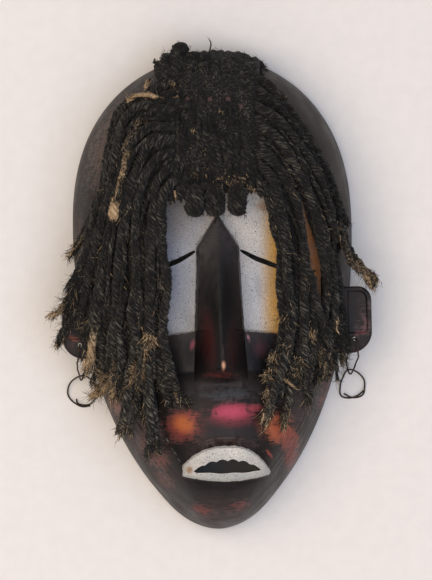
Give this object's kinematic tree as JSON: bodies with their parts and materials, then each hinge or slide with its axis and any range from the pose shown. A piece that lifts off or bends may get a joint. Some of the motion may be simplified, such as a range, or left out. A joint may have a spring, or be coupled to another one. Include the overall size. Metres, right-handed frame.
{
  "type": "tribal mask",
  "caption": "Carved wooden face mask lying face up, with a long nose, pale eye panels, an open mouth, plaited hair over the brow and wire earrings.",
  "frame": {"origin": "centre of the underside of the whole part's box, with the back rim on the floor", "axes": "+X to the face's left side, which is the picture's right, +Y towards the crown, +Z out of the face"},
  "size_m": [0.2138, 0.3244, 0.1059],
  "materials": {
    "carved_wood": "dark stained, satin, with worn red and orange patches and whitened eyes and lips",
    "matted_hair": "matted fibre, matt, with tan frayed ends",
    "tack_metal": "dull, rusty",
    "iron_wire": "dark, lightly rusted"
  },
  "bodies": {
    "root": {"mask_body": "carved_wood", "hair_pad": "matted_hair", "hair_left_01": "matted_hair", "hair_left_02": "matted_hair", "hair_left_03": "matted_hair", "hair_left_04": "matted_hair", "hair_left_05": "matted_hair", "hair_left_06": "matted_hair", "hair_left_07": "matted_hair", "hair_left_08": "matted_hair", "hair_left_09": "matted_hair", "hair_left_10": "matted_hair", "hair_left_11": "matted_hair", "hair_left_12": "matted_hair", "hair_right_01": "matted_hair", "hair_right_02": "matted_hair", "hair_right_03": "matted_hair", "hair_right_04": "matted_hair", "hair_right_05": "matted_hair", "hair_right_06": "matted_hair", "hair_right_07": "matted_hair", "hair_right_08": "matted_hair", "hair_right_09": "matted_hair", "forehead_lock_left": "matted_hair", "forehead_lock_middle": "matted_hair", "forehead_lock_right": "matted_hair", "tack_1": "tack_metal", "tack_2": "tack_metal", "tack_3": "tack_metal", "tack_4": "tack_metal", "earring_hook_left": "iron_wire", "earring_hook_right": "iron_wire", "earring_ring_left": "iron_wire", "earring_ring_right": "iron_wire"}
  },
  "joints": []
}
